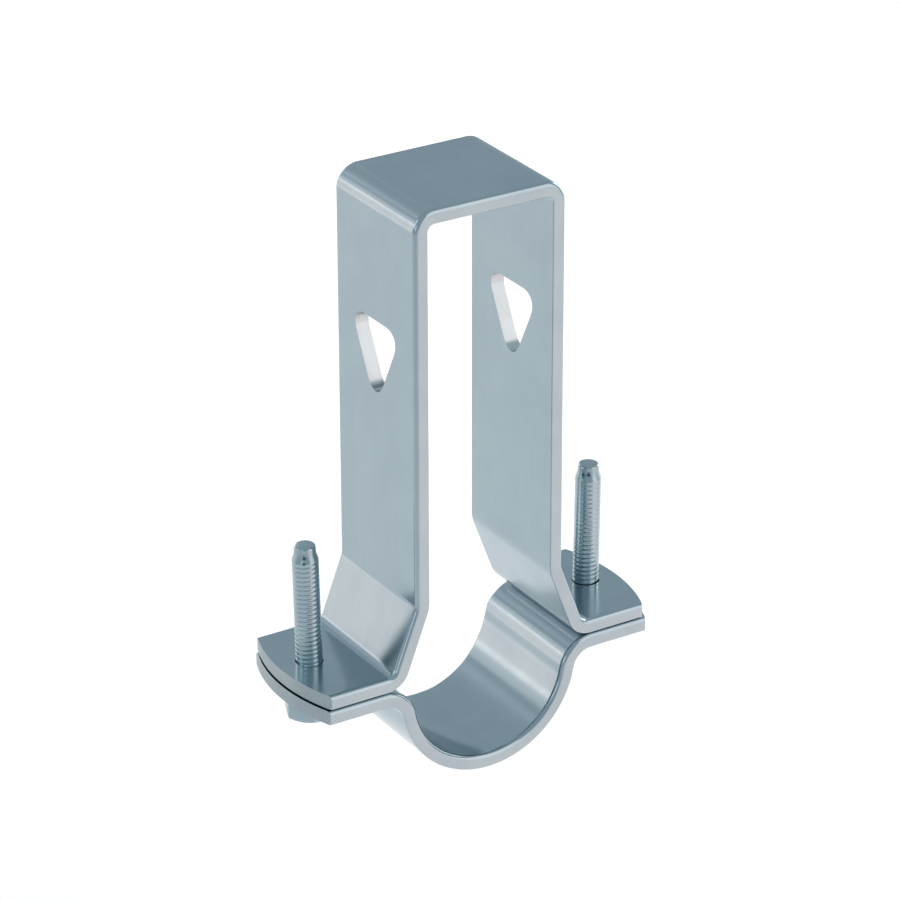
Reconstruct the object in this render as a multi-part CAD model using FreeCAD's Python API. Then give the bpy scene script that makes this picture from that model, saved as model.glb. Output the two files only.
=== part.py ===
"""Pipe bracket of bent flat bar that hangs from a square support rail. All sizes are in millimetres.

The origin is the middle of the pipe seat, on the pipe's axis. Y runs along the pipe, X along the
flanges from the left screw to the right one, and Z up to the rail.

The hanger is an upside-down U that drops over the rail. A wedge driven through its two three-cornered
holes locks it there. Its legs splay into sloping jaws and end in flanges. The saddle is a half round
with matching flanges, and two hexagon screws pull it up against the hanger from below.
"""

import FreeCAD, Part
import math
import os
from collections import namedtuple
from FreeCAD import Placement, Rotation, Vector

# The flat bar that both straps are bent from. It was slit from sheet, which rounds the long edges of
# one face and leaves those of the other sharp.
bar_width = 30.0
bar_thickness = 3.0
slit_edge_radius = 1.0

# What the bracket holds: the rail between the legs, the pipe in the seat.
rail_width = 28.0
rail_clearance = 0.25
pipe_diameter = 35.0
rail_seat_height = 101.8

# Hanger. Its jaws lean out by jaw_angle and stand off the pipe.
jaw_angle = 20.8
jaw_clearance = 2.85
top_bend_radius = 1.6
knee_bend_radius = 4.0
foot_bend_radius = 2.2

# Wedge holes, one in each leg: a triangle that points down, with its corners rounded. The bar was bent
# a little off the middle of the punched holes, so the left one sits lower and the right one higher.
wedge_hole_drop = 23.9
wedge_hole_skew = 0.55
wedge_hole_width = 18.9
wedge_hole_height = 18.7
wedge_hole_corner = 3.3

# Saddle. Its flanges stand above the pipe's axis and reach past the hanger's. It was cut to length a
# little to the right of its middle.
flange_rise = 3.1
flange_gap = 0.36
seat_bend_radius = 4.3
saddle_overhang = 0.55
saddle_cut_offset = 0.25

# Where the screws stand on the flanges, a little behind the middle of the bar, and how far the flanges
# go on past them.
screw_to_seat = 12.6
screw_to_end = 6.75
screw_setback = 0.45

# Hexagon screws, threaded all along. The end is a short pilot behind a cone.
thread_diameter = 6.0
screw_length = 34.0
head_across_flats = 10.0
head_height = 3.9
head_face_diameter = 9.6
head_chamfer_angle = 30.0
pilot_diameter = 4.4
pilot_length = 1.7
pilot_cone = 1.5
pilot_edge_chamfer = 0.35

# How each screw was run in: its lean outwards and the turn of its head, in degrees, and how far the
# rim of its head still stands off the saddle.
left_lean = 1.3
right_lean = 0.75
left_head_turn = 8.5
right_head_turn = 40.0
left_slack = 1.3
right_slack = 0.75

# Holes for the screws: cut for the thread in the hanger, drilled clear in the saddle.
thread_clearance = 0.05
thread_countersink = 0.15
drilled_clearance = 0.5

half_thickness = bar_thickness / 2.0
pipe_radius = pipe_diameter / 2.0
leg_spacing = rail_width + 2.0 * rail_clearance
screw_offset = pipe_radius + bar_thickness + screw_to_seat
hanger_reach = screw_offset + screw_to_end
saddle_reach = hanger_reach + saddle_overhang
saddle_flange_middle = flange_rise - half_thickness
hanger_flange_middle = flange_rise + flange_gap + half_thickness
cut_margin = bar_thickness

Straight = namedtuple("Straight", "length")
Bend = namedtuple("Bend", "angle inside_radius")


def unit(degrees):
    """Unit vector in the XZ plane, turned up from +X."""
    turn = math.radians(degrees)
    return Vector(math.cos(turn), 0.0, math.sin(turn))


def bar_side(start, steps, side):
    """Edges of one face of the bar along its bends: side is 1 for its upper face and -1 for its lower."""
    edges = []
    point = Vector(start)
    heading = 0.0
    for step in steps:
        normal = unit(heading + 90.0)
        if isinstance(step, Straight):
            ahead = point + unit(heading) * step.length
            shift = normal * side * half_thickness
            edges.append(Part.LineSegment(point + shift, ahead + shift).toShape())
            point = ahead
            continue
        turn = math.copysign(1.0, step.angle)
        middle_radius = step.inside_radius + half_thickness
        centre = point + normal * turn * middle_radius
        radius = middle_radius - turn * side * half_thickness
        arms = [unit(heading + share * step.angle - turn * 90.0) for share in (0.0, 0.5, 1.0)]
        edges.append(Part.Arc(*[centre + arm * radius for arm in arms]).toShape())
        point = centre + arms[2] * middle_radius
        heading += step.angle
    return edges


def bent_bar(start, steps):
    """Solid bar that sets off along +X from start, in the XZ plane, its upper face's long edges rounded."""
    upper = bar_side(start, steps, 1)
    lower = bar_side(start, steps, -1)
    caps = [
        Part.LineSegment(lower[0].firstVertex(True).Point, upper[0].firstVertex(True).Point).toShape(),
        Part.LineSegment(lower[-1].lastVertex(True).Point, upper[-1].lastVertex(True).Point).toShape(),
    ]
    outline = Part.Wire(Part.__sortEdges__(upper + lower + caps))
    outline.translate(Vector(0.0, -bar_width / 2.0, 0.0))
    bar = Part.Face(outline).extrude(Vector(0.0, bar_width, 0.0))
    upper_line = Part.Wire(Part.__sortEdges__(upper))
    slit_edges = [edge for edge in bar.Edges if is_slit_edge(edge, upper_line)]
    return bar.makeFillet(min(slit_edge_radius, 0.45 * bar_thickness), slit_edges)


def is_slit_edge(edge, face_line):
    """True for an edge where one of the bar's sides meets the face that face_line runs along."""
    middle = edge.valueAt((edge.FirstParameter + edge.LastParameter) / 2.0)
    in_side_plane = abs(abs(middle.y) - bar_width / 2.0) < 1e-6
    on_face = Part.Vertex(middle.x, 0.0, middle.z).distToShape(face_line)[0] < 1e-6
    return in_side_plane and on_face


def trim_ends(bar, reach, offset):
    """Crop both ends of the bar to one upright circle, as the parting tool leaves them."""
    height = 4.0 * rail_seat_height
    return bar.common(Part.makeCylinder(reach, height, Vector(offset, 0.0, -height / 2.0)))


def corner_setback(bend):
    """Distance from where two runs would meet to where the bend between them starts."""
    return (bend.inside_radius + half_thickness) * math.tan(math.radians(abs(bend.angle)) / 2.0)


def jaw_height(x):
    """Height of the jaw's middle line at x: the jaw's inner face lies outside the pipe."""
    lean = math.radians(jaw_angle)
    distance = pipe_radius + jaw_clearance + half_thickness
    return (distance - x * math.cos(lean)) / math.sin(lean)


def jaw_spread(z):
    """Distance of the jaw's middle line from the Z axis at height z."""
    lean = math.radians(jaw_angle)
    distance = pipe_radius + jaw_clearance + half_thickness
    return (distance - z * math.sin(lean)) / math.cos(lean)


def hanger_steps(end_x):
    """Runs and bends of the hanger, from the end of its left flange to the end of its right one."""
    foot = Bend(90.0 - jaw_angle, foot_bend_radius)
    knee = Bend(jaw_angle, knee_bend_radius)
    shoulder = Bend(-90.0, top_bend_radius)
    leg_x = leg_spacing / 2.0 + half_thickness
    knee_z = jaw_height(leg_x)
    foot_x = jaw_spread(hanger_flange_middle)
    top_z = rail_seat_height + half_thickness
    jaw_run = math.hypot(foot_x - leg_x, knee_z - hanger_flange_middle)
    flange = Straight(end_x - foot_x - corner_setback(foot))
    jaw = Straight(jaw_run - corner_setback(foot) - corner_setback(knee))
    leg = Straight(top_z - knee_z - corner_setback(knee) - corner_setback(shoulder))
    top = Straight(2.0 * (leg_x - corner_setback(shoulder)))
    left_side = [flange, foot, jaw, knee, leg, shoulder]
    return left_side + [top] + left_side[::-1]


def wedge_hole(side):
    """Prism along X through one leg, with the outline of the three-cornered hole, side -1 for the left."""
    top_z = rail_seat_height - wedge_hole_drop + side * wedge_hole_skew
    corners = [
        Vector(0.0, -wedge_hole_width / 2.0, top_z),
        Vector(0.0, wedge_hole_width / 2.0, top_z),
        Vector(0.0, 0.0, top_z - wedge_hole_height),
    ]
    length = leg_spacing / 2.0 + bar_thickness + cut_margin
    prism = Part.Face(Part.makePolygon(corners + corners[:1])).extrude(Vector(side * length, 0.0, 0.0))
    along_x = [edge for edge in prism.Edges if abs(edge.tangentAt(edge.FirstParameter).x) > 0.99]
    return prism.makeFillet(wedge_hole_corner, along_x)


def make_hanger():
    """Inverted U with its jaws, flanges, wedge holes and the two holes cut for the threads."""
    end_x = hanger_reach + cut_margin
    hanger = bent_bar(Vector(-end_x, 0.0, hanger_flange_middle), hanger_steps(end_x))
    hanger = trim_ends(hanger, hanger_reach, 0.0)
    for side, lean in ((-1, left_lean), (1, right_lean)):
        hanger = hanger.cut(wedge_hole(side))
        hanger = hanger.cut(thread_cutter(side, lean))
    return hanger.removeSplitter()


def make_saddle():
    """Half round for the pipe, turned out into two flanges with drilled holes."""
    end_x = saddle_reach + cut_margin
    bend_middle = seat_bend_radius + half_thickness
    drop = bend_middle - saddle_flange_middle
    centres = pipe_radius + half_thickness + bend_middle
    quarter = 90.0 - math.degrees(math.asin(drop / centres))
    flange = Straight(end_x - math.sqrt(centres ** 2 - drop ** 2))
    lip = Bend(-quarter, seat_bend_radius)
    seat = Bend(2.0 * quarter, pipe_radius)
    saddle = bent_bar(Vector(-end_x, 0.0, saddle_flange_middle), [flange, lip, seat, lip, flange])
    saddle = trim_ends(saddle, saddle_reach, saddle_cut_offset)
    radius = thread_diameter / 2.0 + drilled_clearance
    for side in (-1, 1):
        foot = Vector(side * screw_offset, screw_setback, saddle_flange_middle - bar_thickness)
        saddle = saddle.cut(Part.makeCylinder(radius, 2.0 * bar_thickness, foot))
    return saddle.removeSplitter()


def thread_axis(side, lean):
    """Placement whose Z is a screw's axis, from the middle of the hanger's flange, side -1 for the left."""
    middle = Vector(side * screw_offset, screw_setback, hanger_flange_middle)
    return Placement(middle, Rotation(Vector(0.0, 1.0, 0.0), side * lean))


def thread_cutter(side, lean):
    """Cylinder with a countersink at each face of the hanger's flange."""
    radius = thread_diameter / 2.0 + thread_clearance
    wide = radius + 2.0 * thread_countersink
    depth = half_thickness + thread_countersink
    cutter = Part.makeCylinder(radius, 2.0 * bar_thickness, Vector(0.0, 0.0, -bar_thickness))
    for facing in (1.0, -1.0):
        mouth = Vector(0.0, 0.0, facing * depth)
        cone = Part.makeCone(wide, radius, 2.0 * thread_countersink, mouth, Vector(0.0, 0.0, -facing))
        cutter = cutter.fuse(cone)
    cutter.Placement = thread_axis(side, lean)
    return cutter


def hexagon(across_flats, z):
    """Six-cornered wire about the Z axis."""
    corner = Vector(across_flats / math.sqrt(3.0), 0.0, z)
    upright = Vector(0.0, 0.0, 1.0)
    return Part.makePolygon([Rotation(upright, 60.0 * index).multVec(corner) for index in range(7)])


def screw_head():
    """Hexagon head below z = 0, with the corners of its free face turned off."""
    corner_radius = head_across_flats / math.sqrt(3.0)
    face_radius = head_face_diameter / 2.0
    rise = (corner_radius - face_radius) * math.tan(math.radians(head_chamfer_angle))
    prism = Part.Face(hexagon(head_across_flats, -head_height)).extrude(Vector(0.0, 0.0, head_height))
    turned = Part.makeCone(face_radius, corner_radius, rise, Vector(0.0, 0.0, -head_height))
    above = Part.makeCylinder(corner_radius, head_height - rise, Vector(0.0, 0.0, rise - head_height))
    return prism.common(turned.fuse(above))


def screw_shank():
    """Threaded length as its outer cylinder, from inside the head to the chamfered pilot end."""
    thread_radius = thread_diameter / 2.0
    pilot_radius = pilot_diameter / 2.0
    cone_start = screw_length - pilot_length - pilot_cone
    cone_end = screw_length - pilot_length
    outline = [
        Vector(0.0, 0.0, -head_height / 2.0),
        Vector(thread_radius, 0.0, -head_height / 2.0),
        Vector(thread_radius, 0.0, cone_start),
        Vector(pilot_radius, 0.0, cone_end),
        Vector(pilot_radius, 0.0, screw_length),
        Vector(0.0, 0.0, screw_length),
    ]
    section = Part.Face(Part.makePolygon(outline + outline[:1]))
    shank = section.revolve(Vector(), Vector(0.0, 0.0, 1.0), 360.0)
    end_edges = [edge for edge in shank.Edges if is_end_circle(edge)]
    return shank.makeChamfer(pilot_edge_chamfer, end_edges)


def is_end_circle(edge):
    """True for the round edge of the screw's end face."""
    on_end_face = all(abs(vertex.Point.z - screw_length) < 1e-6 for vertex in edge.Vertexes)
    return on_end_face and isinstance(edge.Curve, Part.Circle)


def make_screw(side, lean, head_turn, slack):
    """Screw along its thread's axis, run in until the rim of its head is slack away from the saddle."""
    screw = screw_head().fuse(screw_shank()).removeSplitter()
    axis = thread_axis(side, lean)
    tilt = math.radians(abs(lean))
    rim_rise = head_across_flats / math.sqrt(3.0) * math.sin(tilt)
    underside = saddle_flange_middle - half_thickness - slack
    below_middle = (hanger_flange_middle - underside + rim_rise) / math.cos(tilt)
    seated = Placement(Vector(0.0, 0.0, -below_middle), Rotation(Vector(0.0, 0.0, 1.0), head_turn))
    screw.Placement = axis.multiply(seated)
    return screw


def write_parts(nodes):
    """Write each node's solid to parts/ under the node's name."""
    os.makedirs("parts", exist_ok=True)
    for name, shape in nodes.items():
        solid = shape.Solids[0]
        if len(shape.Solids) != 1 or not solid.isValid():
            raise ValueError(name + " is not one valid solid")
        solid.exportStep(os.path.join("parts", name + ".step"))
        print(name, "volume", round(solid.Volume, 1), "box", solid.BoundBox)


write_parts({
    "hanger": make_hanger(),
    "saddle": make_saddle(),
    "left_screw": make_screw(-1, left_lean, left_head_turn, left_slack),
    "right_screw": make_screw(1, right_lean, right_head_turn, right_slack),
})
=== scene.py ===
"""Pipe bracket of bent, zinc-plated flat bar, as it hangs: hanger, saddle and two hexagon screws.

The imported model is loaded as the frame. Each piece below is modelled again at the frame's own
sizes, with slit edges, eased cuts and a real thread, and stands for one node of that model. Sizes
are in millimetres in the classes and become metres in the meshes. The origin is the middle of the
pipe seat, with Y along the pipe, X from the left screw to the right one and Z up to the rail.
"""

import logging
import math
from dataclasses import dataclass, field
from enum import Enum
from typing import Callable

import bpy
from mathutils import Matrix, Vector

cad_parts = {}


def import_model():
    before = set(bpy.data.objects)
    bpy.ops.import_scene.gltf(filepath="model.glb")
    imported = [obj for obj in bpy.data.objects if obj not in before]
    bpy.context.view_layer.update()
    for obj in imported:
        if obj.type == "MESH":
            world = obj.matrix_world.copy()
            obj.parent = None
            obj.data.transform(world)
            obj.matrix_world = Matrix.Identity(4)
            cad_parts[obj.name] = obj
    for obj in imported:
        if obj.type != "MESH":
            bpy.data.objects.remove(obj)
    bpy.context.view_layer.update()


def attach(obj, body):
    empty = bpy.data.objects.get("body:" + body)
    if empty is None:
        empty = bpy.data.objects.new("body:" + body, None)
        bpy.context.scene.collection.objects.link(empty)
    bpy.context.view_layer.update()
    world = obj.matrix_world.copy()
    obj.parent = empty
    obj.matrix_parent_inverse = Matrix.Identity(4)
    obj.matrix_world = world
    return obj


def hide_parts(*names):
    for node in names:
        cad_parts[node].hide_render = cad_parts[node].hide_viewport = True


MM = 0.001
log = logging.getLogger("pipe_bracket")

# Hollows at a screw's tip: for each its direction, in degrees, and its depth, in mm.
RunOuts = tuple[tuple[float, float], ...]

NEAR = 0.01  # mm: how far off a level a vertex may be and still count as lying on it
WELD = 0.0005  # mm: doubled vertices nearer than this are merged
THREAD_WELD = 0.002  # mm: the same on the thread, whose turns meet less exactly
HARD_ANGLE = 42.0  # degrees: an edge sharper than this is eased
SMOOTH_ANGLE = 35.0  # degrees: faces that meet at less are shaded as one surface
SCREW_SMOOTH_ANGLE = 32.0  # degrees: the same on a finished screw
FLAT_WEIGHT = 80  # above 50, large faces count for more in the normals
EASE_FACETS = 3  # facets across an eased edge
HOLE_STEPS = 96  # facets round a hole
CROP_STEPS = 360  # facets round the circle that crops a strap
CROP_HEIGHT = 400.0  # mm: taller than the bracket, above and below the pipe
DRILL_LENGTH = 3.0  # length of a round hole's tool, in bar thicknesses
PUNCH_LENGTH = 4.0  # length of a wedge hole's tool, in bar thicknesses
NOISE_LOW, NOISE_HIGH = 0.25, 0.75  # between these lie nearly all values of a noise
MIX_FACTOR, MIX_A, MIX_B, MIX_RESULT = 0, 6, 7, 2  # sockets of a Mix node for colours
SENSOR_WIDTH = 36.0  # mm: width of the camera's sensor


class Side(Enum):
    """Which end of the bracket a screw stands at; the value is the sign of its x."""

    LEFT = -1
    RIGHT = 1


class Slot(Enum):
    """Names of two material slots."""

    BAR = "zinc_bar"
    SCREW = "zinc_screw"


class Work(Enum):
    """What a tool does to a piece; the value is the modifier's word for it."""

    CUT = "DIFFERENCE"
    JOIN = "UNION"
    CROP = "INTERSECT"


class Element(Enum):
    """What is selected in a mesh; the value is edit mode's word for it."""

    VERTEX = "VERT"
    EDGE = "EDGE"


# ---- small helpers for objects and selections


def metres(x: float, y: float, z: float) -> Vector:
    """Point in metres from millimetres."""
    return Vector((x, y, z)) * MM


def deselect() -> None:
    """Leave object mode's selection empty."""
    if bpy.context.object and bpy.context.object.mode != "OBJECT":
        bpy.ops.object.mode_set(mode="OBJECT")
    bpy.ops.object.select_all(action="DESELECT")


def make_active(piece: bpy.types.Object) -> None:
    """Select one object alone and make it active.

    Args:
        piece: The object to work on.
    """
    deselect()
    piece.select_set(True)
    bpy.context.view_layer.objects.active = piece


def open_mesh(piece: bpy.types.Object) -> None:
    """Enter edit mode with vertices picked and everything selected.

    Args:
        piece: The object to edit.
    """
    make_active(piece)
    bpy.ops.object.mode_set(mode="EDIT")
    bpy.ops.mesh.select_mode(type="VERT")
    bpy.ops.mesh.select_all(action="SELECT")


def draw_point(x: float, z: float) -> bpy.types.Object:
    """New object with a single vertex, selected in edit mode, from which an outline can be drawn.

    Args:
        x: Its x in millimetres.
        z: Its z in millimetres.

    Returns:
        The object.
    """
    deselect()
    bpy.ops.mesh.primitive_plane_add(size=MM)
    piece = bpy.context.object
    open_mesh(piece)
    bpy.ops.mesh.merge(type="CENTER")
    bpy.ops.transform.translate(value=metres(x, 0.0, z))
    return piece


def draw_outline(outline: list[tuple[float, float]]) -> bpy.types.Object:
    """Chain of edges in the XZ plane, left in edit mode.

    Args:
        outline: x and z of each corner, in millimetres.

    Returns:
        The object.
    """
    piece = draw_point(*outline[0])
    for before, after in zip(outline, outline[1:]):
        step = metres(after[0] - before[0], 0.0, after[1] - before[1])
        bpy.ops.mesh.extrude_region_move(TRANSFORM_OT_translate={"value": step})
    return piece


def close_mesh() -> None:
    """Merge doubled vertices, turn the faces outwards and leave edit mode."""
    bpy.ops.mesh.select_all(action="SELECT")
    bpy.ops.mesh.remove_doubles(threshold=WELD * MM)
    bpy.ops.mesh.normals_make_consistent(inside=False)
    bpy.ops.object.mode_set(mode="OBJECT")


def settle(piece: bpy.types.Object) -> None:
    """Move the object's place, turn and scale into its mesh."""
    make_active(piece)
    bpy.ops.object.transform_apply(location=True, rotation=True, scale=True)


def combine(piece: bpy.types.Object, tool: bpy.types.Object, work: Work) -> None:
    """Cut, join or crop a piece with a tool, which is used up.

    Args:
        piece: The object that is changed.
        tool: The closed shape that works on it. Its material stays on the faces that it leaves.
        work: What the tool does.
    """
    make_active(piece)
    step = piece.modifiers.new("combine", "BOOLEAN")
    step.operation = work.value
    step.solver = "EXACT"
    step.material_mode = "TRANSFER"
    step.object = tool
    bpy.ops.object.modifier_apply(modifier=step.name)
    bpy.data.objects.remove(tool, do_unlink=True)


def choose(piece: bpy.types.Object, kind: Element, wanted: Callable[..., bool]) -> None:
    """Select, in edit mode, the vertices or edges that a test picks.

    Args:
        piece: The active object, in edit mode.
        kind: What is tested and selected.
        wanted: Test that takes one vertex or edge, and the mesh.
    """
    bpy.ops.mesh.select_all(action="DESELECT")
    bpy.ops.mesh.select_mode(type=kind.value)
    bpy.ops.object.mode_set(mode="OBJECT")
    mesh = piece.data
    for element in mesh.vertices if kind is Element.VERTEX else mesh.edges:
        element.select = wanted(element, mesh)
    bpy.ops.object.mode_set(mode="EDIT")


def ease_cut_edges(piece: bpy.types.Object, width: float) -> None:
    """Break the sharp edges that cutting left, and weight the normals so that flat faces stay flat.

    Args:
        piece: The object to finish.
        width: Width of the break, in millimetres.
    """
    make_active(piece)
    step = piece.modifiers.new("ease", "BEVEL")
    step.limit_method = "ANGLE"
    step.angle_limit = math.radians(HARD_ANGLE)
    step.width = width * MM
    step.segments = EASE_FACETS
    step.use_clamp_overlap = True
    bpy.ops.object.modifier_apply(modifier=step.name)
    bpy.ops.object.shade_smooth_by_angle(angle=math.radians(SMOOTH_ANGLE))
    step = piece.modifiers.new("normals", "WEIGHTED_NORMAL")
    step.keep_sharp = True
    step.weight = FLAT_WEIGHT
    bpy.ops.object.modifier_apply(modifier=step.name)


# ---- materials


def linear(colour: str) -> tuple[float, float, float, float]:
    """Turn an sRGB colour to linear.

    Args:
        colour: Hex value such as 8FA0AA.

    Returns:
        Linear red, green and blue, and an alpha of 1.
    """
    parts = [int(colour[i:i + 2], 16) / 255.0 for i in (0, 2, 4)]
    values = [c / 12.92 if c <= 0.04045 else ((c + 0.055) / 1.055) ** 2.4 for c in parts]
    return (*values, 1.0)


def add_node(tree: bpy.types.NodeTree, kind: str, settings: dict | None = None,
             inputs: dict | None = None, links: dict | None = None) -> bpy.types.Node:
    """Add one node with its settings, input values and links.

    Args:
        tree: The node tree.
        kind: The node's type name.
        settings: Attribute values.
        inputs: Input values by socket name or number.
        links: Output sockets to link, by input socket name or number.

    Returns:
        The node.
    """
    node = tree.nodes.new(kind)
    for name, value in (settings or {}).items():
        setattr(node, name, value)
    for name, value in (inputs or {}).items():
        node.inputs[name].default_value = value
    for name, source in (links or {}).items():
        tree.links.new(source, node.inputs[name])
    return node


@dataclass(frozen=True)
class ZincPlate:
    """Electroplated zinc with a clear blue passivation, over cold-formed steel.

    The film gives a cool blue-grey metal with a soft gloss. Drawn lines from the rolling show
    through it along the bar, and its thickness varies in faint clouds. Real lines and the real
    grain are finer than a tenth of a millimetre, too fine to show in the render, so both are drawn
    a few times coarser, as coarse as they need to be to show.

    Attributes:
        name: Name of the material.
        film: Colour of the plain film.
        cloud: Colour where the film is thicker.
        roughness: Mean roughness.
        roughness_spread: How far the clouds move it.
        line_mm: Distance between the drawn lines, across the bar.
        line_run_mm: How long a line runs along the bar before it changes.
        line_depth: Strength of the drawn lines as bump.
        line_tint: How much the drawn lines count for in the colour, beside the clouds.
        grain_mm: Size of the fine grain.
        grain_depth: Strength of the grain as bump.
        cloud_mm: Size of the clouds.
        cloud_start: Value of the pattern at which the film starts to thicken.
        cloud_full: Value at which it is thickest.
        bump_mm: Height of both bumps at full strength.
    """

    name: str
    film: str = "B6C4CA"
    cloud: str = "B1BFC7"
    roughness: float = 0.17
    roughness_spread: float = 0.03
    line_mm: float = 0.5
    line_run_mm: float = 40.0
    line_depth: float = 0.06
    line_tint: float = 0.5
    grain_mm: float = 0.35
    grain_depth: float = 0.03
    cloud_mm: float = 9.0
    cloud_start: float = 0.6
    cloud_full: float = 0.9
    bump_mm: float = 0.02

    def make(self) -> bpy.types.Material:
        """Build the material.

        Returns:
            The material with its nodes.
        """
        material = bpy.data.materials.new(self.name)
        material.use_nodes = True
        tree = material.node_tree
        tree.nodes.clear()
        place = add_node(tree, "ShaderNodeTexCoord").outputs["Object"]
        along = 1.0 / (self.line_run_mm * MM)
        across = 1.0 / (self.line_mm * MM)
        stretched = add_node(tree, "ShaderNodeMapping", inputs={"Scale": (along, across, along)},
                             links={"Vector": place})
        lines = add_node(tree, "ShaderNodeTexNoise",
                         inputs={"Scale": 1.0, "Detail": 3.0, "Roughness": 0.6},
                         links={"Vector": stretched.outputs["Vector"]})
        clouds = add_node(tree, "ShaderNodeTexNoise",
                          inputs={"Scale": 1.0 / (self.cloud_mm * MM), "Detail": 3.0},
                          links={"Vector": place})
        grain = add_node(tree, "ShaderNodeTexNoise",
                         inputs={"Scale": 1.0 / (self.grain_mm * MM), "Detail": 2.0,
                                 "Roughness": 0.6},
                         links={"Vector": place})
        mixed = add_node(tree, "ShaderNodeMath", {"operation": "MULTIPLY_ADD", "use_clamp": True},
                         {1: self.line_tint},
                         {0: lines.outputs["Fac"], 2: clouds.outputs["Fac"]})
        steps = add_node(tree, "ShaderNodeMapRange", {"clamp": True},
                         {"From Min": self.cloud_start, "From Max": self.cloud_full,
                          "To Min": 0.0, "To Max": 1.0},
                         {"Value": mixed.outputs["Value"]})
        colour = add_node(tree, "ShaderNodeMix", {"data_type": "RGBA"},
                          {MIX_A: linear(self.film), MIX_B: linear(self.cloud)},
                          {MIX_FACTOR: steps.outputs["Result"]})
        gloss = add_node(tree, "ShaderNodeMapRange", {"clamp": True},
                         {"From Min": NOISE_LOW, "From Max": NOISE_HIGH,
                          "To Min": self.roughness - self.roughness_spread,
                          "To Max": self.roughness + self.roughness_spread},
                         {"Value": clouds.outputs["Fac"]})
        line_bump = add_node(tree, "ShaderNodeBump",
                             inputs={"Strength": self.line_depth, "Distance": self.bump_mm * MM},
                             links={"Height": lines.outputs["Fac"]})
        bump = add_node(tree, "ShaderNodeBump",
                        inputs={"Strength": self.grain_depth, "Distance": self.bump_mm * MM},
                        links={"Height": grain.outputs["Fac"],
                               "Normal": line_bump.outputs["Normal"]})
        shader = add_node(tree, "ShaderNodeBsdfPrincipled", inputs={"Metallic": 1.0},
                          links={"Base Color": colour.outputs[MIX_RESULT],
                                 "Roughness": gloss.outputs["Result"],
                                 "Normal": bump.outputs["Normal"]})
        add_node(tree, "ShaderNodeOutputMaterial", links={"Surface": shader.outputs["BSDF"]})
        return material


# ---- flat bar


@dataclass
class FlatBar:
    """Rolled flat bar that is bent step by step, as in a press brake, from its left end.

    Attributes:
        name: Name of the piece.
        width: Width of the bar, along Y.
        thickness: Thickness of the bar.
        slit_round: Radius of the long edges of the upper face, which slitting has drawn down.
        sharp_round: Radius of the long edges of the lower face.
        skin: Material of the rolled faces.
        slit_facets: Facets round each of the upper face's long edges.
        sharp_facets: Facets round each of the lower face's long edges.
        piece: The bar as it is bent.
        end: Middle of its end face, in millimetres.
        heading: Direction of the end, in degrees up from +X.
    """

    name: str
    width: float
    thickness: float
    slit_round: float
    sharp_round: float
    skin: bpy.types.Material
    slit_facets: int = 9
    sharp_facets: int = 3
    piece: bpy.types.Object = field(init=False)
    end: Vector = field(init=False)
    heading: float = field(init=False, default=0.0)

    def begin(self, x: float, z: float) -> None:
        """Lay the bar's section upright in the YZ plane, heading along +X.

        Args:
            x: Where the bar starts.
            z: Height of its middle.
        """
        deselect()
        bpy.ops.mesh.primitive_plane_add(size=MM, location=metres(x, 0.0, z),
                                         rotation=(0.0, math.pi / 2.0, 0.0))
        self.piece = bpy.context.object
        self.piece.name = self.name
        self.piece.data.name = self.name
        self.piece.scale = (self.thickness, self.width, 1.0)
        settle(self.piece)
        self.piece.data.materials.append(self.skin)
        open_mesh(self.piece)
        for face, radius, facets in ((1.0, self.slit_round, self.slit_facets),
                                     (-1.0, self.sharp_round, self.sharp_facets)):
            level = (z + face * self.thickness / 2.0) * MM
            choose(self.piece, Element.VERTEX, lambda v, m: abs(v.co.z - level) < NEAR * MM)
            bpy.ops.mesh.bevel(offset_type="OFFSET", offset=radius * MM, segments=facets,
                               affect="VERTICES")
        bpy.ops.mesh.select_all(action="SELECT")
        self.end = Vector((x, 0.0, z))
        self.heading = 0.0

    def ahead(self, degrees: float) -> Vector:
        """Unit vector in the XZ plane, turned up from +X."""
        return Vector((math.cos(math.radians(degrees)), 0.0, math.sin(math.radians(degrees))))

    def run(self, length: float) -> None:
        """Extrude the end face straight ahead.

        Args:
            length: Length of the straight run.
        """
        step = self.ahead(self.heading) * length
        bpy.ops.mesh.extrude_region_move(TRANSFORM_OT_translate={"value": step * MM})
        self.end = self.end + step

    def bend(self, angle: float, inside_radius: float, steps: int) -> None:
        """Spin the end face round the bend.

        Args:
            angle: Turn in degrees, positive when the bar turns up.
            inside_radius: Radius of the bend's inner face.
            steps: Facets round the bend.
        """
        turn = math.copysign(1.0, angle)
        reach = inside_radius + self.thickness / 2.0
        centre = self.end + self.ahead(self.heading + turn * 90.0) * reach
        bpy.ops.mesh.spin(steps=steps, angle=math.radians(abs(angle)), center=centre * MM,
                          axis=(0.0, turn, 0.0))
        self.heading += angle
        self.end = centre - self.ahead(self.heading + turn * 90.0) * reach

    def close(self) -> bpy.types.Object:
        """Leave edit mode with the faces pointing outwards.

        Returns:
            The bent bar.
        """
        close_mesh()
        bpy.ops.object.shade_smooth()
        return self.piece


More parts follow.
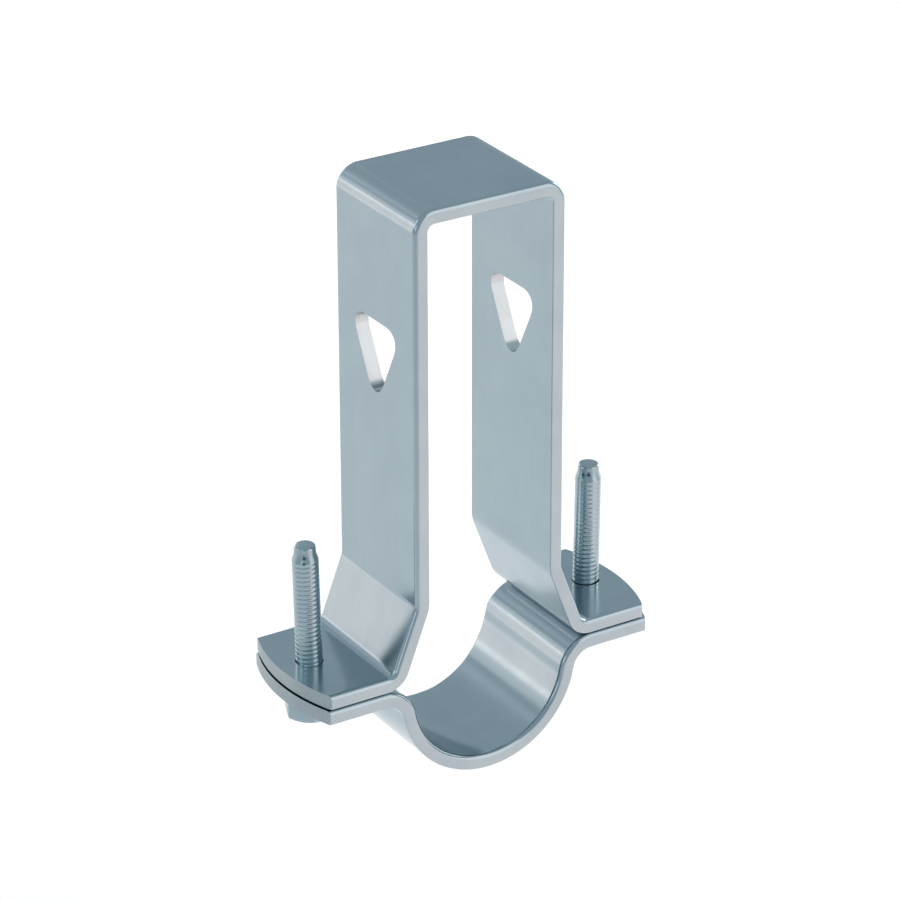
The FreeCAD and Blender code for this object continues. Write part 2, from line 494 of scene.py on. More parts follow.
@dataclass(frozen=True)
class Sizes:
    """Sizes that the pieces share, in millimetres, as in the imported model.

    Attributes:
        bar_width: Width of the bar, along Y.
        bar_thickness: Thickness of the bar.
        slit_round: Radius of the long edges that slitting has drawn down.
        sharp_round: Radius of the long edges on the bar's other side.
        leg_spacing: Clear width between the legs.
        pipe_radius: Radius of the saddle's seat.
        rail_seat: Height of the top's underside.
        jaw_angle: Slope of the jaws, in degrees from the vertical.
        jaw_clearance: How far the jaws stand off the pipe.
        flange_rise: Height of the saddle's flanges, at their upper face.
        flange_gap: Gap between the saddle's flanges and the hanger's.
        screw_offset: Distance of the screws from the middle, along X.
        screw_setback: How far the screws stand behind the bar's middle.
        hanger_reach: Radius of the circle that crops the hanger.
        saddle_reach: Radius of the circle that crops the saddle.
        saddle_cut_offset: How far that circle is off the middle, to the right.
        cut_ease: Width of the break along the cuts of both straps.
    """

    bar_width: float = 30.0
    bar_thickness: float = 3.0
    slit_round: float = 1.0
    sharp_round: float = 0.2
    leg_spacing: float = 28.5
    pipe_radius: float = 17.5
    rail_seat: float = 101.8
    jaw_angle: float = 20.8
    jaw_clearance: float = 2.85
    flange_rise: float = 3.1
    flange_gap: float = 0.36
    screw_offset: float = 33.1
    screw_setback: float = 0.45
    hanger_reach: float = 39.85
    saddle_reach: float = 40.4
    saddle_cut_offset: float = 0.25
    cut_ease: float = 0.26

    @property
    def leg_middle(self) -> float:
        """Distance from the middle of the bracket to the middle of a leg."""
        return (self.leg_spacing + self.bar_thickness) / 2.0

    @property
    def saddle_middle(self) -> float:
        """Height of the middle of the saddle's flanges."""
        return self.flange_rise - self.bar_thickness / 2.0

    @property
    def hanger_middle(self) -> float:
        """Height of the middle of the hanger's flanges."""
        return self.flange_rise + self.flange_gap + self.bar_thickness / 2.0


def cylinder(radius: float, height: float, middle: Vector,
             steps: int = HOLE_STEPS) -> bpy.types.Object:
    """Upright closed cylinder.

    Args:
        radius: Its radius, in millimetres.
        height: Its height, in millimetres.
        middle: Its middle, in millimetres.
        steps: Facets round it.

    Returns:
        The object.
    """
    deselect()
    bpy.ops.mesh.primitive_cylinder_add(vertices=steps, radius=radius * MM, depth=height * MM,
                                        location=middle * MM)
    return bpy.context.object


# ---- straps


@dataclass
class Strap:
    """What the hanger and the saddle share: a bent bar with cropped ends and eased cuts.

    Attributes:
        sizes: Sizes that the pieces share.
        skin: Material of the rolled faces.
        cut: Material of the cropped ends and the round holes.
    """

    sizes: Sizes
    skin: bpy.types.Material
    cut: bpy.types.Material

    def stock(self, name: str) -> FlatBar:
        """Flat bar to bend the strap from.

        Args:
            name: Name of the piece.

        Returns:
            The bar, not begun yet.
        """
        s = self.sizes
        return FlatBar(name, s.bar_width, s.bar_thickness, s.slit_round, s.sharp_round, self.skin)

    def crop(self, piece: bpy.types.Object, reach: float, offset: float) -> None:
        """Crop both ends to one upright circle.

        Args:
            piece: The bent bar.
            reach: Radius of the circle.
            offset: How far it is off the middle, to the right.
        """
        tool = cylinder(reach, CROP_HEIGHT, Vector((offset, 0.0, 0.0)), CROP_STEPS)
        tool.data.materials.append(self.cut)
        combine(piece, tool, Work.CROP)

    def finish(self, piece: bpy.types.Object) -> bpy.types.Object:
        """Ease the cuts and hand the piece over.

        Args:
            piece: The cropped and drilled bar.

        Returns:
            The same object.
        """
        ease_cut_edges(piece, self.sizes.cut_ease)
        log.info("%s: %d faces", piece.name, len(piece.data.polygons))
        return piece


@dataclass
class Hanger(Strap):
    """Upside-down U with sloping jaws, flanges, wedge holes and holes cut for the threads.

    Attributes:
        wall_painted_light: Material of the wedge holes' walls: the zinc painted paler, as painted
            light for the bright light that the walls catch.
        top_bend: Inner radius of the two bends at the top.
        knee_bend: Inner radius of the bends between legs and jaws.
        foot_bend: Inner radius of the bends between jaws and flanges.
        top_facets: Facets round a bend at the top.
        knee_facets: Facets round a bend between leg and jaw.
        foot_facets: Facets round a bend between jaw and flange.
        hole_drop: Mean distance from the rail seat down to the wedge holes' top edges.
        hole_skew: How far the right hole is above that, and the left one below it.
        hole_width: Width of a wedge hole before its corners are rounded.
        hole_height: Height of a wedge hole before its corners are rounded.
        hole_corner: Radius of its corners.
        corner_facets: Facets round a corner.
        thread_hole: Radius of the holes cut for the threads.
        countersink: Width and depth of the slope at both mouths of such a hole.
    """

    wall_painted_light: bpy.types.Material
    top_bend: float = 1.6
    knee_bend: float = 4.0
    foot_bend: float = 2.2
    top_facets: int = 20
    knee_facets: int = 10
    foot_facets: int = 14
    hole_drop: float = 23.9
    hole_skew: float = 0.55
    hole_width: float = 18.9
    hole_height: float = 18.7
    hole_corner: float = 3.3
    corner_facets: int = 12
    thread_hole: float = 2.86
    countersink: float = 0.03

    def setback(self, angle: float, inside_radius: float) -> float:
        """Distance from where two runs would meet to where the bend between them starts."""
        reach = inside_radius + self.sizes.bar_thickness / 2.0
        return reach * math.tan(math.radians(angle) / 2.0)

    def bent(self) -> bpy.types.Object:
        """Bend the bar along the hanger's middle line.

        Returns:
            The bent bar, with its ends longer than needed.
        """
        s = self.sizes
        lean = math.radians(s.jaw_angle)
        distance = s.pipe_radius + s.jaw_clearance + s.bar_thickness / 2.0
        leg_x = s.leg_middle
        knee_z = (distance - leg_x * math.cos(lean)) / math.sin(lean)
        foot_x = (distance - s.hanger_middle * math.sin(lean)) / math.cos(lean)
        top_z = s.rail_seat + s.bar_thickness / 2.0
        foot_turn = 90.0 - s.jaw_angle
        foot = self.setback(foot_turn, self.foot_bend)
        knee = self.setback(s.jaw_angle, self.knee_bend)
        shoulder = self.setback(90.0, self.top_bend)
        start_x = -s.hanger_reach - s.bar_thickness
        flange = -start_x - foot_x - foot
        jaw = math.hypot(foot_x - leg_x, knee_z - s.hanger_middle) - foot - knee
        leg = top_z - knee_z - knee - shoulder
        bar = self.stock("hanger_strap")
        bar.begin(start_x, s.hanger_middle)
        bar.run(flange)
        bar.bend(foot_turn, self.foot_bend, self.foot_facets)
        bar.run(jaw)
        bar.bend(s.jaw_angle, self.knee_bend, self.knee_facets)
        bar.run(leg)
        bar.bend(-90.0, self.top_bend, self.top_facets)
        bar.run(2.0 * (leg_x - shoulder))
        bar.bend(-90.0, self.top_bend, self.top_facets)
        bar.run(leg)
        bar.bend(s.jaw_angle, self.knee_bend, self.knee_facets)
        bar.run(jaw)
        bar.bend(foot_turn, self.foot_bend, self.foot_facets)
        bar.run(flange)
        return bar.close()

    def wedge_hole(self, side: Side) -> bpy.types.Object:
        """Three-cornered prism through one leg, point down, with its long edges rounded.

        Args:
            side: Which leg. The hole sits a little lower in the left one.

        Returns:
            The cutting tool.
        """
        s = self.sizes
        top = s.rail_seat - self.hole_drop + side.value * self.hole_skew
        deselect()
        bpy.ops.mesh.primitive_cylinder_add(vertices=3, radius=MM,
                                            depth=PUNCH_LENGTH * s.bar_thickness * MM,
                                            rotation=(math.pi / 2.0, 0.0, math.pi / 2.0))
        tool = bpy.context.object
        settle(tool)
        low = min(v.co.z for v in tool.data.vertices)
        high = max(v.co.z for v in tool.data.vertices)
        wide = max(v.co.y for v in tool.data.vertices)
        point_up = abs(max(tool.data.vertices, key=lambda v: v.co.z).co.y) < NEAR * MM
        tall = self.hole_height * MM / (high - low) * (-1.0 if point_up else 1.0)
        tool.scale = (1.0, self.hole_width / 2.0 * MM / wide, tall)
        settle(tool)
        high = max(v.co.z for v in tool.data.vertices)
        tool.location = (side.value * s.leg_middle * MM, 0.0, top * MM - high)
        settle(tool)
        open_mesh(tool)
        bpy.ops.mesh.normals_make_consistent(inside=False)
        point = math.atan2(self.hole_width / 2.0, self.hole_height)
        shoulder = math.pi / 4.0 - point / 2.0
        for half_angle, middle in ((point, True), (shoulder, False)):
            choose(tool, Element.EDGE, lambda e, m: self.is_long_edge(e, m, middle))
            bpy.ops.mesh.bevel(offset_type="OFFSET", segments=self.corner_facets, affect="EDGES",
                               offset=self.hole_corner * MM / math.tan(half_angle))
        bpy.ops.object.mode_set(mode="OBJECT")
        # The wedge holes' walls take the zinc painted paler: painted light.
        tool.data.materials.append(self.wall_painted_light)
        return tool

    def is_long_edge(self, edge: bpy.types.MeshEdge, mesh: bpy.types.Mesh,
                     middle: bool) -> bool:
        """Whether an edge runs the length of the wedge prism, at its point or at its shoulders.

        Args:
            edge: The edge.
            mesh: Its mesh.
            middle: True for the edge at the point, False for the two at the shoulders.

        Returns:
            True if it does.
        """
        a, b = (mesh.vertices[v].co for v in edge.vertices)
        outermost = self.hole_width / 2.0 * MM
        at_middle = abs(a.y) < NEAR * MM
        at_shoulder = abs(abs(a.y) - outermost) < NEAR * MM
        return abs(a.x - b.x) > MM and (at_middle if middle else at_shoulder)

    def thread_tool(self, side: Side, lean: float) -> bpy.types.Object:
        """Tool that opens a flange for a screw, with a countersink at both faces.

        Args:
            side: Which flange.
            lean: The screw's lean outwards, in degrees.

        Returns:
            The cutting tool.
        """
        s = self.sizes
        middle = Vector((side.value * s.screw_offset, s.screw_setback, s.hanger_middle))
        tool = cylinder(self.thread_hole, DRILL_LENGTH * s.bar_thickness, Vector())
        flare = 2.0 * self.countersink
        for facing in (1.0, -1.0):
            deselect()
            mouth = facing * s.bar_thickness / 2.0
            bpy.ops.mesh.primitive_cone_add(vertices=HOLE_STEPS, depth=flare * MM,
                                            radius1=(self.thread_hole + flare) * MM,
                                            radius2=self.thread_hole * MM,
                                            location=(0.0, 0.0, mouth * MM),
                                            rotation=(0.0 if facing < 0 else math.pi, 0.0, 0.0))
            combine(tool, bpy.context.object, Work.JOIN)
        tool.rotation_euler = (0.0, math.radians(side.value * lean), 0.0)
        tool.location = middle * MM
        settle(tool)
        tool.data.materials.append(self.cut)
        return tool

    def build(self, leans: dict[Side, float]) -> bpy.types.Object:
        """Bend, crop and cut the hanger.

        Args:
            leans: Lean of the screw at each side, in degrees.

        Returns:
            The finished strap.
        """
        piece = self.bent()
        self.crop(piece, self.sizes.hanger_reach, 0.0)
        for side, lean in leans.items():
            combine(piece, self.wedge_hole(side), Work.CUT)
            combine(piece, self.thread_tool(side, lean), Work.CUT)
        return self.finish(piece)


@dataclass
class Saddle(Strap):
    """Half round for the pipe, turned out into two drilled flanges.

    Attributes:
        lip_bend: Inner radius of the bends between the half round and the flanges.
        lip_facets: Facets round such a bend.
        seat_facets: Facets round the half round.
        drilled_radius: Radius of the flanges' holes.
    """

    lip_bend: float = 4.3
    lip_facets: int = 20
    seat_facets: int = 72
    drilled_radius: float = 3.5

    def bent(self) -> bpy.types.Object:
        """Bend the bar along the saddle's middle line.

        Returns:
            The bent bar, with its ends longer than needed.
        """
        s = self.sizes
        bend_middle = self.lip_bend + s.bar_thickness / 2.0
        drop = bend_middle - s.saddle_middle
        centres = s.pipe_radius + s.bar_thickness / 2.0 + bend_middle
        quarter = 90.0 - math.degrees(math.asin(drop / centres))
        start_x = -s.saddle_reach - s.bar_thickness
        flange = -start_x - math.sqrt(centres ** 2 - drop ** 2)
        bar = self.stock("saddle_strap")
        bar.begin(start_x, s.saddle_middle)
        bar.run(flange)
        bar.bend(-quarter, self.lip_bend, self.lip_facets)
        bar.bend(2.0 * quarter, s.pipe_radius, self.seat_facets)
        bar.bend(-quarter, self.lip_bend, self.lip_facets)
        bar.run(flange)
        return bar.close()

    def build(self) -> bpy.types.Object:
        """Bend, crop and drill the saddle.

        Returns:
            The finished strap.
        """
        s = self.sizes
        piece = self.bent()
        self.crop(piece, s.saddle_reach, s.saddle_cut_offset)
        for side in Side:
            middle = Vector((side.value * s.screw_offset, s.screw_setback, s.saddle_middle))
            tool = cylinder(self.drilled_radius, DRILL_LENGTH * s.bar_thickness, middle)
            tool.data.materials.append(self.cut)
            combine(piece, tool, Work.CUT)
        return self.finish(piece)


# ---- screws


@dataclass
class HexScrew:
    """Hexagon screw, threaded to the head, with a pilot end.

    It is modelled upright, with the head's bearing face at the origin, and then stood in its place.

    Attributes:
        sizes: Sizes that the pieces share.
        plate: Its material.
        side: Where it stands.
        lean: Its lean outwards, in degrees.
        head_turn: Turn about its own axis, in degrees.
        slack: How far the rim of its head still stands off the saddle.
        run_outs: Where grooves of the thread run out at the tip: direction from above, in degrees
            from +X, and depth below the end face.
        diameter: Diameter over the thread's crests.
        pitch: Rise of the thread in one turn.
        root_diameter: Diameter at the bottom of the grooves.
        length: Length under the head.
        across_flats: Width of the head.
        head_height: Height of the head.
        head_face: Diameter of the flat on the head's free face.
        head_chamfer: Slope of the head's turned-off corners, in degrees.
        head_ease: Width of the break along the head's edges.
        head_steps: Facets round the turned-off corners.
        pilot_diameter: Diameter of the pilot end.
        pilot_length: Length of the pilot end.
        pilot_cone: Length of the cone between pilot and thread.
        pilot_edge: Radius of the pilot's rounded rim.
        edge_facets: Facets round that rim.
        groove_share: How much of the pitch a groove takes up.
        thread_facets: Facets across a groove.
        turn_steps: Facets in one turn of the thread.
        spare_turns: Turns made beyond the length, and cut off again.
        overrun: How far the threaded rod goes past the tip before the blank crops it.
        blank_over: How far the blank stands out past the crests.
        blank_step: How far the cone's foot stands out past the pilot.
        blank_steps: Facets round the blank.
        run_out_radius: Radius of the hollow where a groove runs out.
        run_out_depth: How deep the hollow goes in.
        run_out_spread: How far out it moves for each millimetre below the pilot.
    """

    sizes: Sizes
    plate: bpy.types.Material
    side: Side
    lean: float
    head_turn: float
    slack: float
    run_outs: RunOuts
    diameter: float = 5.44
    pitch: float = 1.0
    root_diameter: float = 5.28
    length: float = 34.0
    across_flats: float = 10.0
    head_height: float = 3.9
    head_face: float = 9.6
    head_chamfer: float = 30.0
    head_ease: float = 0.12
    head_steps: int = 120
    pilot_diameter: float = 4.4
    pilot_length: float = 1.7
    pilot_cone: float = 1.5
    pilot_edge: float = 0.45
    edge_facets: int = 5
    groove_share: float = 0.9
    thread_facets: int = 8
    turn_steps: int = 48
    spare_turns: int = 3
    overrun: float = 0.4
    blank_over: float = 0.3
    blank_step: float = 0.02
    blank_steps: int = 72
    run_out_radius: float = 0.34
    run_out_depth: float = 0.9
    run_out_spread: float = 0.5

    @property
    def head_corner(self) -> float:
        """Distance from the axis to a corner of the head."""
        return self.across_flats / math.sqrt(3.0)

    def lathe(self, outline: list[tuple[float, float]], steps: int) -> bpy.types.Object:
        """Turn an outline about the Z axis into a closed solid.

        Args:
            outline: Radius and height of each corner, from the axis back to the axis.
            steps: Facets round it.

        Returns:
            The object.
        """
        piece = draw_outline(outline)
        bpy.ops.mesh.select_all(action="SELECT")
        bpy.ops.mesh.spin(steps=steps, angle=2.0 * math.pi, center=(0.0, 0.0, 0.0),
                          axis=(0.0, 0.0, 1.0))
        close_mesh()
        return piece

    def thread(self) -> bpy.types.Object:
        """Threaded rod from inside the head to just past the end, closed by two flat cuts.

        Returns:
            The object.
        """
        crest, root = self.diameter / 2.0, self.root_diameter / 2.0
        depth = crest - root
        shares = [i / self.thread_facets for i in range(self.thread_facets + 1)]
        groove = [(crest - depth * (1.0 - math.cos(2.0 * math.pi * share)) / 2.0,
                   share * self.groove_share * self.pitch - self.head_height) for share in shares]
        piece = draw_outline(groove + [(crest, self.pitch - self.head_height)])
        bpy.ops.object.mode_set(mode="OBJECT")
        step = piece.modifiers.new("thread", "SCREW")
        step.axis = "Z"
        step.screw_offset = self.pitch * MM
        step.iterations = int((self.length + self.head_height) / self.pitch) + self.spare_turns
        step.steps = step.render_steps = self.turn_steps
        step.use_merge_vertices = True
        step.merge_threshold = THREAD_WELD * MM
        step.use_normal_calculate = True
        make_active(piece)
        bpy.ops.object.modifier_apply(modifier=step.name)
        open_mesh(piece)
        bpy.ops.mesh.remove_doubles(threshold=THREAD_WELD * MM)
        ends = ((-self.head_height / 2.0, -1.0), (self.length + self.overrun, 1.0))
        for height, outward in ends:
            bpy.ops.mesh.select_all(action="SELECT")
            bpy.ops.mesh.bisect(plane_co=metres(0.0, 0.0, height), plane_no=(0.0, 0.0, outward),
                                use_fill=True, clear_outer=True)
        bpy.ops.mesh.select_all(action="SELECT")
        bpy.ops.mesh.normals_make_consistent(inside=False)
        bpy.ops.object.mode_set(mode="OBJECT")
        return piece

    def blank(self) -> bpy.types.Object:
        """Turned blank that crops the thread to the shank's length, cone and pilot.

        Returns:
            The object.
        """
        radius = self.diameter / 2.0 + self.blank_over
        pilot = self.pilot_diameter / 2.0
        cone_end = self.length - self.pilot_length
        slope = (self.diameter / 2.0 - pilot) / self.pilot_cone
        cone_start = cone_end - (radius - pilot) / slope
        bottom = -self.head_height * 0.75  # inside the head, below the rod's own cut
        edge = self.pilot_edge
        steps = range(self.edge_facets, -1, -1)
        angles = [math.radians(90.0 * k / self.edge_facets) for k in steps]
        rounding = [(pilot - edge + edge * math.sin(a), self.length - edge + edge * math.cos(a))
                    for a in angles]
        outline = [(0.0, bottom), (radius, bottom), (radius, cone_start),
                   (pilot + self.blank_step, cone_end)] + rounding + [(0.0, self.length)]
        return self.lathe(outline, self.blank_steps)

    def pit(self, direction: float, depth: float) -> bpy.types.Object:
        """Long ball that leaves the hollow in which a groove of the thread runs out.

        Args:
            direction: Direction from above, in degrees from +X.
            depth: Depth below the end face.

        Returns:
            The cutting tool.
        """
        turn = math.radians(direction - self.head_turn)
        below = max(0.0, depth - self.pilot_length)
        radius = self.pilot_diameter / 2.0 + below * self.run_out_spread
        place = metres(radius * math.cos(turn), radius * math.sin(turn), self.length - depth)
        deselect()
        bpy.ops.mesh.primitive_uv_sphere_add(segments=24, ring_count=12, radius=MM,
                                             location=place, rotation=(0.0, 0.0, turn))
        tool = bpy.context.object
        tool.scale = (self.run_out_depth, self.run_out_radius, self.run_out_radius)
        settle(tool)
        return tool

    def head(self) -> bpy.types.Object:
        """Hexagon head with the corners of its free face turned off.

        Returns:
            The object.
        """
        corner = self.head_corner
        face = self.head_face / 2.0
        slope = math.tan(math.radians(self.head_chamfer))
        rise = (corner - face) * slope
        beyond = 1.0  # mm: how far the outline goes past the corners and the bearing face
        flats_turn = math.radians(30.0)  # half a side, so that two flats face along Y
        deselect()
        bpy.ops.mesh.primitive_cylinder_add(vertices=6, radius=corner * MM,
                                            depth=self.head_height * MM,
                                            location=metres(0.0, 0.0, -self.head_height / 2.0),
                                            rotation=(0.0, 0.0, flats_turn))
        piece = bpy.context.object
        settle(piece)
        outline = [(0.0, -self.head_height), (face, -self.head_height),
                   (corner + beyond, rise + slope * beyond - self.head_height),
                   (corner + beyond, beyond), (0.0, beyond)]
        combine(piece, self.lathe(outline, self.head_steps), Work.CROP)
        ease_cut_edges(piece, self.head_ease)
        return piece

    def build(self) -> bpy.types.Object:
        """Join head and thread, and stand the screw in its place.

        Returns:
            The finished screw.
        """
        s = self.sizes
        piece = self.thread()
        combine(piece, self.blank(), Work.CROP)
        for direction, depth in self.run_outs:
            combine(piece, self.pit(direction, depth), Work.CUT)
        combine(piece, self.head(), Work.JOIN)
        piece.name = self.side.name.lower() + "_hex_screw"
        piece.data.name = piece.name
        piece.data.materials.clear()
        piece.data.materials.append(self.plate)
        tilt = math.radians(self.lean)
        rim = self.head_corner * math.sin(tilt)
        underside = s.saddle_middle - s.bar_thickness / 2.0 - self.slack
        below = (s.hanger_middle - underside + rim) / math.cos(tilt)
        foot = metres(self.side.value * s.screw_offset, s.screw_setback, s.hanger_middle)
        axis = Matrix.Translation(foot) @ Matrix.Rotation(self.side.value * tilt, 4, "Y")
        turn = Matrix.Rotation(math.radians(self.head_turn), 4, "Z")
        seat = Matrix.Translation(metres(0.0, 0.0, -below)) @ turn
        piece.matrix_world = axis @ seat
        settle(piece)
        bpy.ops.object.shade_smooth_by_angle(angle=math.radians(SCREW_SMOOTH_ANGLE))
        log.info("%s: %d faces", piece.name, len(piece.data.polygons))
        return piece


# ---- studio


def bearing(azimuth: float, elevation: float) -> Vector:
    """Unit vector from the bracket in a direction.

    Args:
        azimuth: Degrees from -Y towards +X.
        elevation: Degrees above the horizon.

    Returns:
        The vector.
    """
    a, e = math.radians(azimuth), math.radians(elevation)
    return Vector((math.sin(a) * math.cos(e), -math.cos(a) * math.cos(e), math.sin(e)))


def hang_lamp(name: str, width: float, height: float, power: float,
              colour: str) -> bpy.types.Object:
    """Rectangular soft light that the camera doesn't see.

    Args:
        name: Name of the light.
        width: Width, in metres.
        height: Height, in metres.
        power: Power in watts.
        colour: Colour of its light.

    Returns:
        The light, at the origin and facing down.
    """
    lamp = bpy.data.lights.new(name, "AREA")
    lamp.shape = "RECTANGLE"
    lamp.size = width
    lamp.size_y = height
    lamp.energy = power
    lamp.color = linear(colour)[:3]
    stand = bpy.data.objects.new(name, lamp)
    bpy.context.scene.collection.objects.link(stand)
    stand.visible_camera = False
    return stand


@dataclass
class SoftBox:
    """Soft light on a stand, aimed at the bracket.

    Attributes:
        name: Name of the light.
        azimuth: Direction from the bracket, in degrees from -Y towards +X.
        elevation: Height above the horizon, in degrees.
        distance: Distance from the bracket, in metres.
        width: Width, in metres.
        height: Height, in metres.
        power: Power in watts.
        colour: Colour of its light.
    """

    name: str
    azimuth: float
    elevation: float
    distance: float
    width: float
    height: float
    power: float
    colour: str

    def place(self, aim: Vector) -> None:
        """Put the light up.

        Args:
            aim: Point that it faces.
        """
        away = bearing(self.azimuth, self.elevation)
        stand = hang_lamp(self.name, self.width, self.height, self.power, self.colour)
        stand.location = aim + away * self.distance
        stand.rotation_mode = "QUATERNION"
        stand.rotation_quaternion = away.to_track_quat("Z", "Y")


@dataclass
class FloorWash:
    """Small light that hangs over the paper beside the bracket and is flagged off from the metal.

    Attributes:
        name: Name of the light.
        x: Where it hangs, in metres.
        y: Where it hangs, in metres.
        power: Power in watts.
        colour: Colour of its light.
        size: Width and depth, in metres.
        height: Height over the paper, in metres.
    """

    name: str
    x: float
    y: float
    power: float
    colour: str
    size: float = 0.7
    height: float = 0.5

    def place(self, floor_height: float) -> None:
        """Put the light up, facing down.

        Args:
            floor_height: Height of the paper, in metres.
        """
        stand = hang_lamp(self.name, self.size, self.size, self.power, self.colour)
        stand.location = (self.x, self.y, floor_height + self.height)
        stand.visible_glossy = False


@dataclass
class Studio:
    """Pale floor, soft lights and the camera of the photograph's view.

    Attributes:
        floor_height: Height of the paper, in metres.
        floor_size: Width and depth of the paper, in metres.
        floor_colour: Colour of the paper.
        floor_roughness: Roughness of the paper.
        surround: Colour of the room's even light.
        surround_strength: Strength of that light.
        camera_azimuth: Direction of the camera, in degrees from -Y towards +X.
        camera_elevation: Its height above the horizon, in degrees.
        camera_roll: Its turn about the line of sight, in degrees.
        camera_distance_mm: Its distance from the origin, along the line of sight.
        camera_side_mm: How far the origin is to the right of the line of sight.
        camera_rise_mm: How far the origin is above the line of sight.
        focal_pixels: Focal length, in pixels of the photograph.
        frame_pixels: Width of the photograph, in pixels.
        clip_near: Nearest distance that the camera sees, in metres.
        clip_far: Farthest distance that it sees, in metres.
        aim_mm: Height of the point that the soft lights face.
        boxes: Soft lights round the bracket.
        washes: Lights over the paper.
    """

    floor_height: float = -0.25
    floor_size: float = 12.0
    floor_colour: str = "F4F5F6"
    floor_roughness: float = 0.9
    surround: str = "DEF4FF"
    surround_strength: float = 0.507
    camera_azimuth: float = -31.7088
    camera_elevation: float = 25.6984
    camera_roll: float = -0.1501
    camera_distance_mm: float = 838.417
    camera_side_mm: float = 0.2533
    camera_rise_mm: float = -40.4853
    focal_pixels: float = 4096.42
    frame_pixels: float = 900.0
    clip_near: float = 0.05
    clip_far: float = 40.0
    aim_mm: float = 40.0
    boxes: list[SoftBox] = field(default_factory=lambda: [
        SoftBox("back", 180.0, 12.0, 1.6, 1.2, 1.0, 6.25, "FFF0E0"),
        SoftBox("back_left_low", -140.0, 0.0, 1.3, 0.8, 0.6, 1.14, "FFE8DC"),
        SoftBox("back_left_high", -143.0, 15.0, 1.5, 0.5, 0.4, 0.264, "FFF1EA"),
        SoftBox("back_mid", -165.0, 25.0, 1.6, 0.8, 0.6, 0.24, "F8F0FF"),
        SoftBox("right_low", 100.0, 10.0, 1.4, 1.0, 1.0, 5.63, "FFFBF1"),
        SoftBox("front_right", 31.0, 18.0, 1.4, 1.2, 1.5, 4.70, "FFEEE7"),
        SoftBox("left", -106.0, 25.0, 1.3, 0.6, 0.8, 1.45, "EBFAFF"),
        SoftBox("front_left", -62.0, 8.0, 1.4, 0.5, 0.5, 0.6, "F4F8FF"),
    ])
    washes: list[FloorWash] = field(default_factory=lambda: [
        FloorWash("wash_front_right", 0.35, -0.55, 1.90, "FFD4C0"),
        FloorWash("wash_back_right", 0.31, 0.46, 1.68, "FFF2EC", 0.8, 0.45),
        FloorWash("wash_far_right", 0.52, 0.84, 0.85, "FFECE2", 0.6, 0.4),
        FloorWash("wash_left", -0.60, 0.10, 0.08, "FFF1EA", 0.4, 0.25),
    ])

    def floor(self) -> None:
        """Lay the floor of matt white paper, which shows no gloss of its own."""
        deselect()
        bpy.ops.mesh.primitive_plane_add(size=self.floor_size,
                                         location=(0.0, 0.0, self.floor_height))
        floor = bpy.context.object
        floor.name = "floor"
        settle(floor)
        material = bpy.data.materials.new("matt_white_paper")
        material.use_nodes = True
        tree = material.node_tree
        tree.nodes.clear()
        shader = add_node(tree, "ShaderNodeBsdfPrincipled",
                          inputs={"Base Color": linear(self.floor_colour),
                                  "Roughness": self.floor_roughness})
        add_node(tree, "ShaderNodeOutputMaterial", links={"Surface": shader.outputs["BSDF"]})
        floor.data.materials.append(material)

    def surroundings(self) -> None:
        """Give the room its even, slightly cool light."""
        world = bpy.data.worlds.new("studio")
        bpy.context.scene.world = world
        world.use_nodes = True
        tree = world.node_tree
        tree.nodes.clear()
        room = add_node(tree, "ShaderNodeBackground",
                        inputs={"Color": linear(self.surround),
                                "Strength": self.surround_strength})
        add_node(tree, "ShaderNodeOutputWorld", links={"Surface": room.outputs["Background"]})

    def camera(self) -> None:
        """Set up the camera in the photograph's view."""
        azimuth, roll = math.radians(self.camera_azimuth), math.radians(self.camera_roll)
        back = bearing(self.camera_azimuth, self.camera_elevation)
        level = Vector((math.cos(azimuth), math.sin(azimuth), 0.0))
        upright = back.cross(level)
        right = level * math.cos(roll) + upright * math.sin(roll)
        up = upright * math.cos(roll) - level * math.sin(roll)
        data = bpy.data.cameras.new("photo_view")
        data.sensor_width = SENSOR_WIDTH
        data.lens = self.focal_pixels / self.frame_pixels * data.sensor_width
        data.clip_start, data.clip_end = self.clip_near, self.clip_far
        camera = bpy.data.objects.new("photo_view", data)
        bpy.context.scene.collection.objects.link(camera)
        place = (back * self.camera_distance_mm - right * self.camera_side_mm
                 - up * self.camera_rise_mm) * MM
        turn = Matrix((right, up, back)).transposed()
        camera.matrix_world = Matrix.Translation(place) @ turn.to_4x4()
        bpy.context.scene.camera = camera

    def build(self) -> None:
        """Set up the whole studio."""
        scene = bpy.context.scene
        scene.view_settings.view_transform = "Standard"
        scene.view_settings.look = "None"
        self.camera()
        self.floor()
        self.surroundings()
        for box in self.boxes:
            box.place(metres(0.0, 0.0, self.aim_mm))
        for wash in self.washes:
            wash.place(self.floor_height)


# ---- the whole bracket


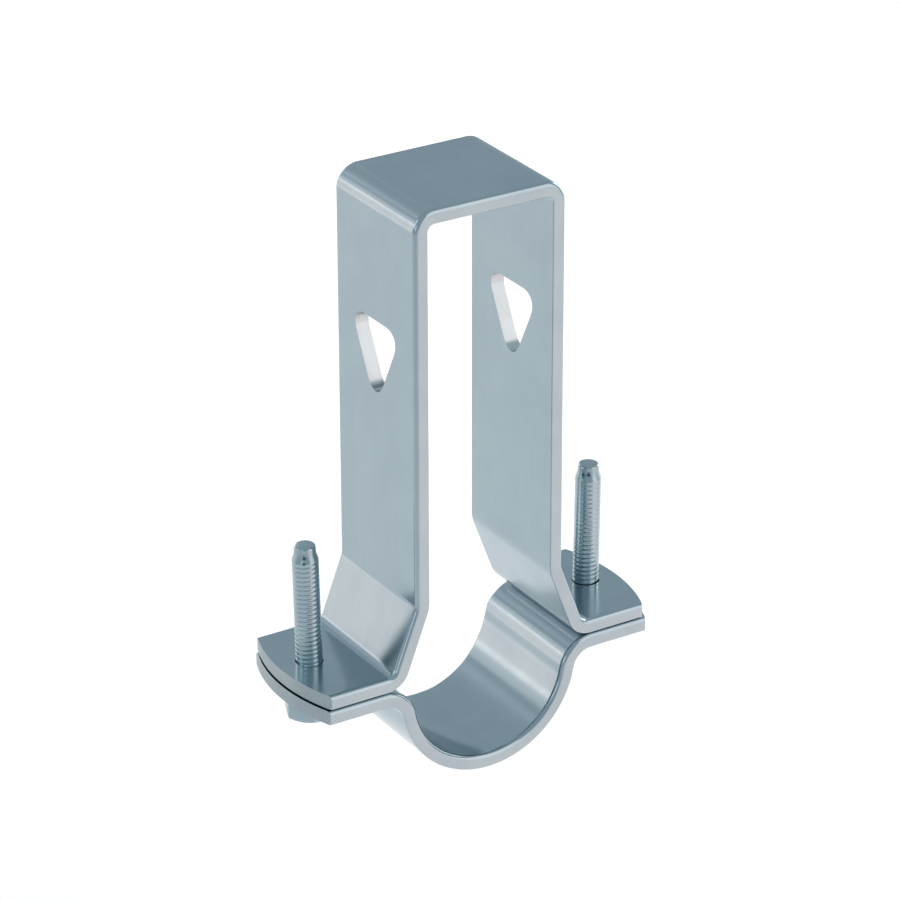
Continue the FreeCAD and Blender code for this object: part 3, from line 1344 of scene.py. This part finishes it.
@dataclass
class PipeBracket:
    """The whole bracket: both straps and both screws.

    Attributes:
        sizes: Sizes that the pieces share.
        leans: Lean of each screw outwards, in degrees.
        head_turns: Turn of each screw about its own axis, in degrees.
        slacks: How far the rim of each head stands off the saddle.
        run_outs: Where grooves run out at each tip, as the screw takes them.
    """

    sizes: Sizes = field(default_factory=Sizes)
    leans: dict[Side, float] = field(
        default_factory=lambda: {Side.LEFT: 1.3, Side.RIGHT: 0.75})
    head_turns: dict[Side, float] = field(
        default_factory=lambda: {Side.LEFT: 8.5, Side.RIGHT: 40.0})
    slacks: dict[Side, float] = field(
        default_factory=lambda: {Side.LEFT: 1.3, Side.RIGHT: 0.75})
    run_outs: dict[Side, RunOuts] = field(
        default_factory=lambda: {Side.LEFT: ((-123.0, 1.95), (-125.0, 3.0)),
                                 Side.RIGHT: ((-122.0, 1.7), (-151.0, 1.85))})

    def take_over(self, piece: bpy.types.Object, node: str) -> None:
        """Let a piece stand for its node.

        Args:
            piece: The finished piece.
            node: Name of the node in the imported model.
        """
        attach(piece, "root")
        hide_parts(node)
        log.info("%s stands for %s", piece.name, node)

    def build(self) -> None:
        """Build and place every piece."""
        # Rolled faces are smooth under the film: soft reflections, drawn out along the bar.
        rolled = ZincPlate("blue_zinc_on_rolled_bar").make()
        # Sheared ends are torn steel: matt and greyer, with no clear reflection.
        sheared = ZincPlate("blue_zinc_on_sheared_steel", film="B4BDC1", cloud="ABB5B9",
                            roughness=0.5).make()
        # Punched walls: the zinc painted paler than the faces, as painted light for the bright
        # light that they catch, and half matt.
        wall_painted_light = ZincPlate("blue_zinc_painted_light_walls", film="D3D8DA", cloud="CDD2D4",
                            roughness=0.28).make()
        # Rolled threads are pressed smooth, with no drawn lines: light bands down the screw.
        turned = ZincPlate("blue_zinc_on_rolled_thread", film="B2C3C8", cloud="ADBDC4",
                           roughness=0.22, line_depth=0.0).make()
        hanger = Hanger(self.sizes, rolled, sheared, wall_painted_light).build(self.leans)
        self.take_over(hanger, "hanger")
        saddle = Saddle(self.sizes, rolled, sheared).build()
        self.take_over(saddle, "saddle")
        for side in Side:
            screw = HexScrew(self.sizes, turned, side, self.leans[side], self.head_turns[side],
                             self.slacks[side], self.run_outs[side]).build()
            self.take_over(screw, side.name.lower() + "_screw")


def main() -> None:
    """Load the frame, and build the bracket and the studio."""
    logging.basicConfig(level=logging.INFO, format="%(name)s: %(message)s")
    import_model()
    PipeBracket().build()
    Studio().build()


if __name__ == "__main__":
    main()
